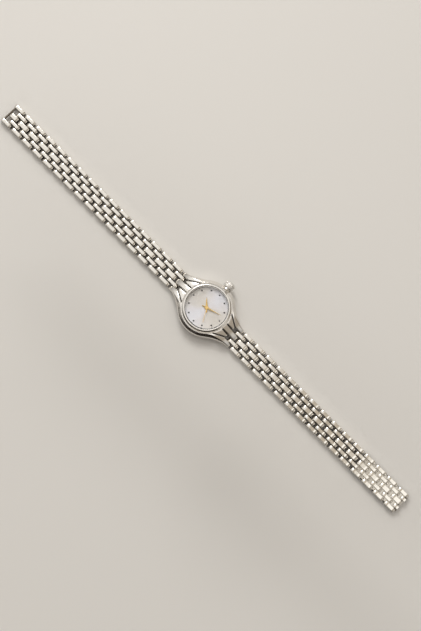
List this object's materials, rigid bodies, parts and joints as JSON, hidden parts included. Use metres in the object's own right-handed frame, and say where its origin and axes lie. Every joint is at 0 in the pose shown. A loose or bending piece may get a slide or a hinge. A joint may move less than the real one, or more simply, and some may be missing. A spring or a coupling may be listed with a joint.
{
  "type": "bracelet watch",
  "caption": "Small round quartz wristwatch with a dauphine-hand dial, polished steel case, fluted crown and five-column link bracelet with a fold-over clasp, laid open.",
  "frame": {"origin": "centre of the case back's outer face, on the surface that the watch lies on", "axes": "+Z out of the dial, +Y towards 12 o'clock along the open bracelet, +X towards the crown at 3 o'clock"},
  "size_m": [0.0211, 0.1831, 0.0066],
  "materials": {
    "case_steel": "polished stainless steel",
    "link_steel": "polished stainless steel",
    "works_steel": "satin steel",
    "crystal": "clear mineral glass",
    "seal": "matt black rubber",
    "white_plastic": "matt white plastic",
    "dial": "silvery white with a faint pearl sheen",
    "markers": "dark polished dots",
    "gold": "polished gold plate",
    "plate": "nickel-plated brass",
    "wheels": "bright brass",
    "board": "green circuit board",
    "copper": "varnished copper wire",
    "cell": "bright steel can"
  },
  "bodies": {
    "case": {"case_body": "case_steel", "case_back": "case_steel", "case_back_gasket": "seal", "bezel": "case_steel", "crystal": "crystal", "crystal_gasket": "white_plastic", "dial_ring": "case_steel", "dial": "dial", "hour_markers": "markers", "movement_ring": "white_plastic", "main_plate": "plate", "train_bridge": "plate", "circuit_board": "board", "coil": "copper", "stator": "works_steel", "battery": "cell", "movement_screws": "works_steel"},
    "minute_works": {"centre_wheel": "wheels", "minute_hand": "gold"},
    "hour_works": {"hour_wheel": "wheels", "hour_hand": "gold"},
    "seconds_works": {"fourth_wheel": "wheels", "second_hand": "gold"},
    "third_works": {"third_wheel": "wheels"},
    "intermediate_works": {"intermediate_wheel": "wheels"},
    "rotor_works": {"rotor": "works_steel"},
    "minute_wheel_works": {"minute_wheel": "wheels"},
    "lever_works": {"setting_lever": "works_steel"},
    "crown_works": {"crown": "case_steel", "stem": "works_steel", "crown_gasket": "seal"},
    "upper_row_01": {"upper_row_01": "link_steel"},
    "upper_row_02": {"upper_row_02": "link_steel"},
    "upper_row_03": {"upper_row_03": "link_steel"},
    "upper_row_04": {"upper_row_04": "link_steel"},
    "upper_row_05": {"upper_row_05": "link_steel"},
    "upper_row_06": {"upper_row_06": "link_steel"},
    "upper_row_07": {"upper_row_07": "link_steel"},
    "upper_row_08": {"upper_row_08": "link_steel"},
    "upper_row_09": {"upper_row_09": "link_steel"},
    "upper_row_10": {"upper_row_10": "link_steel"},
    "upper_row_11": {"upper_row_11": "link_steel"},
    "upper_row_12": {"upper_row_12": "link_steel"},
    "upper_row_13": {"upper_row_13": "link_steel"},
    "upper_row_14": {"upper_row_14": "link_steel"},
    "upper_row_15": {"upper_row_15": "link_steel"},
    "upper_end_piece": {"upper_end_piece": "link_steel"},
    "lower_row_01": {"lower_row_01": "link_steel"},
    "lower_row_02": {"lower_row_02": "link_steel"},
    "lower_row_03": {"lower_row_03": "link_steel"},
    "lower_row_04": {"lower_row_04": "link_steel"},
    "lower_row_05": {"lower_row_05": "link_steel"},
    "lower_row_06": {"lower_row_06": "link_steel"},
    "lower_row_07": {"lower_row_07": "link_steel"},
    "lower_row_08": {"lower_row_08": "link_steel"},
    "lower_row_09": {"lower_row_09": "link_steel"},
    "lower_row_10": {"lower_row_10": "link_steel"},
    "lower_row_11": {"lower_row_11": "link_steel"},
    "clasp_cover": {"clasp_cover": "link_steel"},
    "clasp_leaf": {"clasp_leaf": "link_steel"}
  },
  "joints": [
    {"name": "minute_turn", "type": "hinge", "parent": "case", "child": "minute_works", "pos_m": [0, 0, 0.0034], "axis": [0, 0, -1], "continuous": true},
    {"name": "hour_turn", "type": "hinge", "parent": "case", "child": "hour_works", "pos_m": [0, 0, 0.0034], "axis": [0, 0, -1], "continuous": true},
    {"name": "seconds_turn", "type": "hinge", "parent": "case", "child": "seconds_works", "pos_m": [0, 0, 0.0034], "axis": [0, 0, -1], "continuous": true},
    {"name": "third_turn", "type": "hinge", "parent": "case", "child": "third_works", "pos_m": [0.00296, 0.00079, 0.0034], "axis": [0, 0, -1], "continuous": true},
    {"name": "intermediate_turn", "type": "hinge", "parent": "case", "child": "intermediate_works", "pos_m": [0.00047, -0.00174, 0.0034], "axis": [0, 0, -1], "continuous": true},
    {"name": "rotor_turn", "type": "hinge", "parent": "case", "child": "rotor_works", "pos_m": [0.00032, -0.00343, 0.0034], "axis": [0, 0, -1], "continuous": true},
    {"name": "minute_wheel_turn", "type": "hinge", "parent": "case", "child": "minute_wheel_works", "pos_m": [-0.00173, 0.001, 0.0034], "axis": [0, 0, -1], "continuous": true},
    {"name": "crown_pull", "type": "slide", "parent": "case", "child": "lever_works", "axis": [1, 0, 0], "range_m": [0, 0.0007]},
    {"name": "crown_turn", "type": "hinge", "parent": "lever_works", "child": "crown_works", "pos_m": [0.0105, 0, 0.0034], "axis": [1, 0, 0], "continuous": true},
    {"name": "upper_hinge_01", "type": "hinge", "parent": "case", "child": "upper_row_01", "pos_m": [0, 0.01285, 0.00105], "axis": [-1, 0, 0], "range_deg": [-5, 28]},
    {"name": "upper_hinge_02", "type": "hinge", "parent": "upper_row_01", "child": "upper_row_02", "pos_m": [0, 0.01785, 0.00105], "axis": [-1, 0, 0], "range_deg": [-6, 10]},
    {"name": "upper_hinge_03", "type": "hinge", "parent": "upper_row_02", "child": "upper_row_03", "pos_m": [0, 0.02285, 0.00105], "axis": [-1, 0, 0], "range_deg": [-6, 10]},
    {"name": "upper_hinge_04", "type": "hinge", "parent": "upper_row_03", "child": "upper_row_04", "pos_m": [0, 0.02785, 0.00105], "axis": [-1, 0, 0], "range_deg": [-6, 10]},
    {"name": "upper_hinge_05", "type": "hinge", "parent": "upper_row_04", "child": "upper_row_05", "pos_m": [0, 0.03285, 0.00105], "axis": [-1, 0, 0], "range_deg": [-6, 10]},
    {"name": "upper_hinge_06", "type": "hinge", "parent": "upper_row_05", "child": "upper_row_06", "pos_m": [0, 0.03785, 0.00105], "axis": [-1, 0, 0], "range_deg": [-6, 10]},
    {"name": "upper_hinge_07", "type": "hinge", "parent": "upper_row_06", "child": "upper_row_07", "pos_m": [0, 0.04285, 0.00105], "axis": [-1, 0, 0], "range_deg": [-6, 10]},
    {"name": "upper_hinge_08", "type": "hinge", "parent": "upper_row_07", "child": "upper_row_08", "pos_m": [0, 0.04785, 0.00105], "axis": [-1, 0, 0], "range_deg": [-6, 10]},
    {"name": "upper_hinge_09", "type": "hinge", "parent": "upper_row_08", "child": "upper_row_09", "pos_m": [0, 0.05285, 0.00105], "axis": [-1, 0, 0], "range_deg": [-6, 10]},
    {"name": "upper_hinge_10", "type": "hinge", "parent": "upper_row_09", "child": "upper_row_10", "pos_m": [0, 0.05785, 0.00105], "axis": [-1, 0, 0], "range_deg": [-6, 10]},
    {"name": "upper_hinge_11", "type": "hinge", "parent": "upper_row_10", "child": "upper_row_11", "pos_m": [0, 0.06285, 0.00105], "axis": [-1, 0, 0], "range_deg": [-6, 10]},
    {"name": "upper_hinge_12", "type": "hinge", "parent": "upper_row_11", "child": "upper_row_12", "pos_m": [0, 0.06785, 0.00105], "axis": [-1, 0, 0], "range_deg": [-6, 10]},
    {"name": "upper_hinge_13", "type": "hinge", "parent": "upper_row_12", "child": "upper_row_13", "pos_m": [0, 0.07285, 0.00105], "axis": [-1, 0, 0], "range_deg": [-6, 10]},
    {"name": "upper_hinge_14", "type": "hinge", "parent": "upper_row_13", "child": "upper_row_14", "pos_m": [0, 0.07785, 0.00105], "axis": [-1, 0, 0], "range_deg": [-6, 10]},
    {"name": "upper_hinge_15", "type": "hinge", "parent": "upper_row_14", "child": "upper_row_15", "pos_m": [0, 0.08285, 0.00105], "axis": [-1, 0, 0], "range_deg": [-6, 10]},
    {"name": "upper_hinge_16", "type": "hinge", "parent": "upper_row_15", "child": "upper_end_piece", "pos_m": [0, 0.08785, 0.00105], "axis": [-1, 0, 0], "range_deg": [-6, 10]},
    {"name": "lower_hinge_01", "type": "hinge", "parent": "case", "child": "lower_row_01", "pos_m": [0, -0.01285, 0.00105], "axis": [1, 0, 0], "range_deg": [-5, 28]},
    {"name": "lower_hinge_02", "type": "hinge", "parent": "lower_row_01", "child": "lower_row_02", "pos_m": [0, -0.01785, 0.00105], "axis": [1, 0, 0], "range_deg": [-6, 10]},
    {"name": "lower_hinge_03", "type": "hinge", "parent": "lower_row_02", "child": "lower_row_03", "pos_m": [0, -0.02285, 0.00105], "axis": [1, 0, 0], "range_deg": [-6, 10]},
    {"name": "lower_hinge_04", "type": "hinge", "parent": "lower_row_03", "child": "lower_row_04", "pos_m": [0, -0.02785, 0.00105], "axis": [1, 0, 0], "range_deg": [-6, 10]},
    {"name": "lower_hinge_05", "type": "hinge", "parent": "lower_row_04", "child": "lower_row_05", "pos_m": [0, -0.03285, 0.00105], "axis": [1, 0, 0], "range_deg": [-6, 10]},
    {"name": "lower_hinge_06", "type": "hinge", "parent": "lower_row_05", "child": "lower_row_06", "pos_m": [0, -0.03785, 0.00105], "axis": [1, 0, 0], "range_deg": [-6, 10]},
    {"name": "lower_hinge_07", "type": "hinge", "parent": "lower_row_06", "child": "lower_row_07", "pos_m": [0, -0.04285, 0.00105], "axis": [1, 0, 0], "range_deg": [-6, 10]},
    {"name": "lower_hinge_08", "type": "hinge", "parent": "lower_row_07", "child": "lower_row_08", "pos_m": [0, -0.04785, 0.00105], "axis": [1, 0, 0], "range_deg": [-6, 10]},
    {"name": "lower_hinge_09", "type": "hinge", "parent": "lower_row_08", "child": "lower_row_09", "pos_m": [0, -0.05285, 0.00105], "axis": [1, 0, 0], "range_deg": [-6, 10]},
    {"name": "lower_hinge_10", "type": "hinge", "parent": "lower_row_09", "child": "lower_row_10", "pos_m": [0, -0.05785, 0.00105], "axis": [1, 0, 0], "range_deg": [-6, 10]},
    {"name": "lower_hinge_11", "type": "hinge", "parent": "lower_row_10", "child": "lower_row_11", "pos_m": [0, -0.06285, 0.00105], "axis": [1, 0, 0], "range_deg": [-6, 10]},
    {"name": "lower_hinge_12", "type": "hinge", "parent": "lower_row_11", "child": "clasp_cover", "pos_m": [0, -0.06785, 0.00105], "axis": [1, 0, 0], "range_deg": [-6, 26]},
    {"name": "leaf_hinge", "type": "hinge", "parent": "clasp_cover", "child": "clasp_leaf", "pos_m": [0, -0.0886, 0.00066], "axis": [1, 0, 0], "range_deg": [-170, 0]}
  ],
  "couplings": [
    {"joint": "third_turn", "follows": "minute_turn", "ratio": -8},
    {"joint": "seconds_turn", "follows": "minute_turn", "ratio": 60},
    {"joint": "intermediate_turn", "follows": "minute_turn", "ratio": -240},
    {"joint": "rotor_turn", "follows": "minute_turn", "ratio": 1800},
    {"joint": "minute_wheel_turn", "follows": "minute_turn", "ratio": -0.33333},
    {"joint": "hour_turn", "follows": "minute_turn", "ratio": 0.083333}
  ]
}
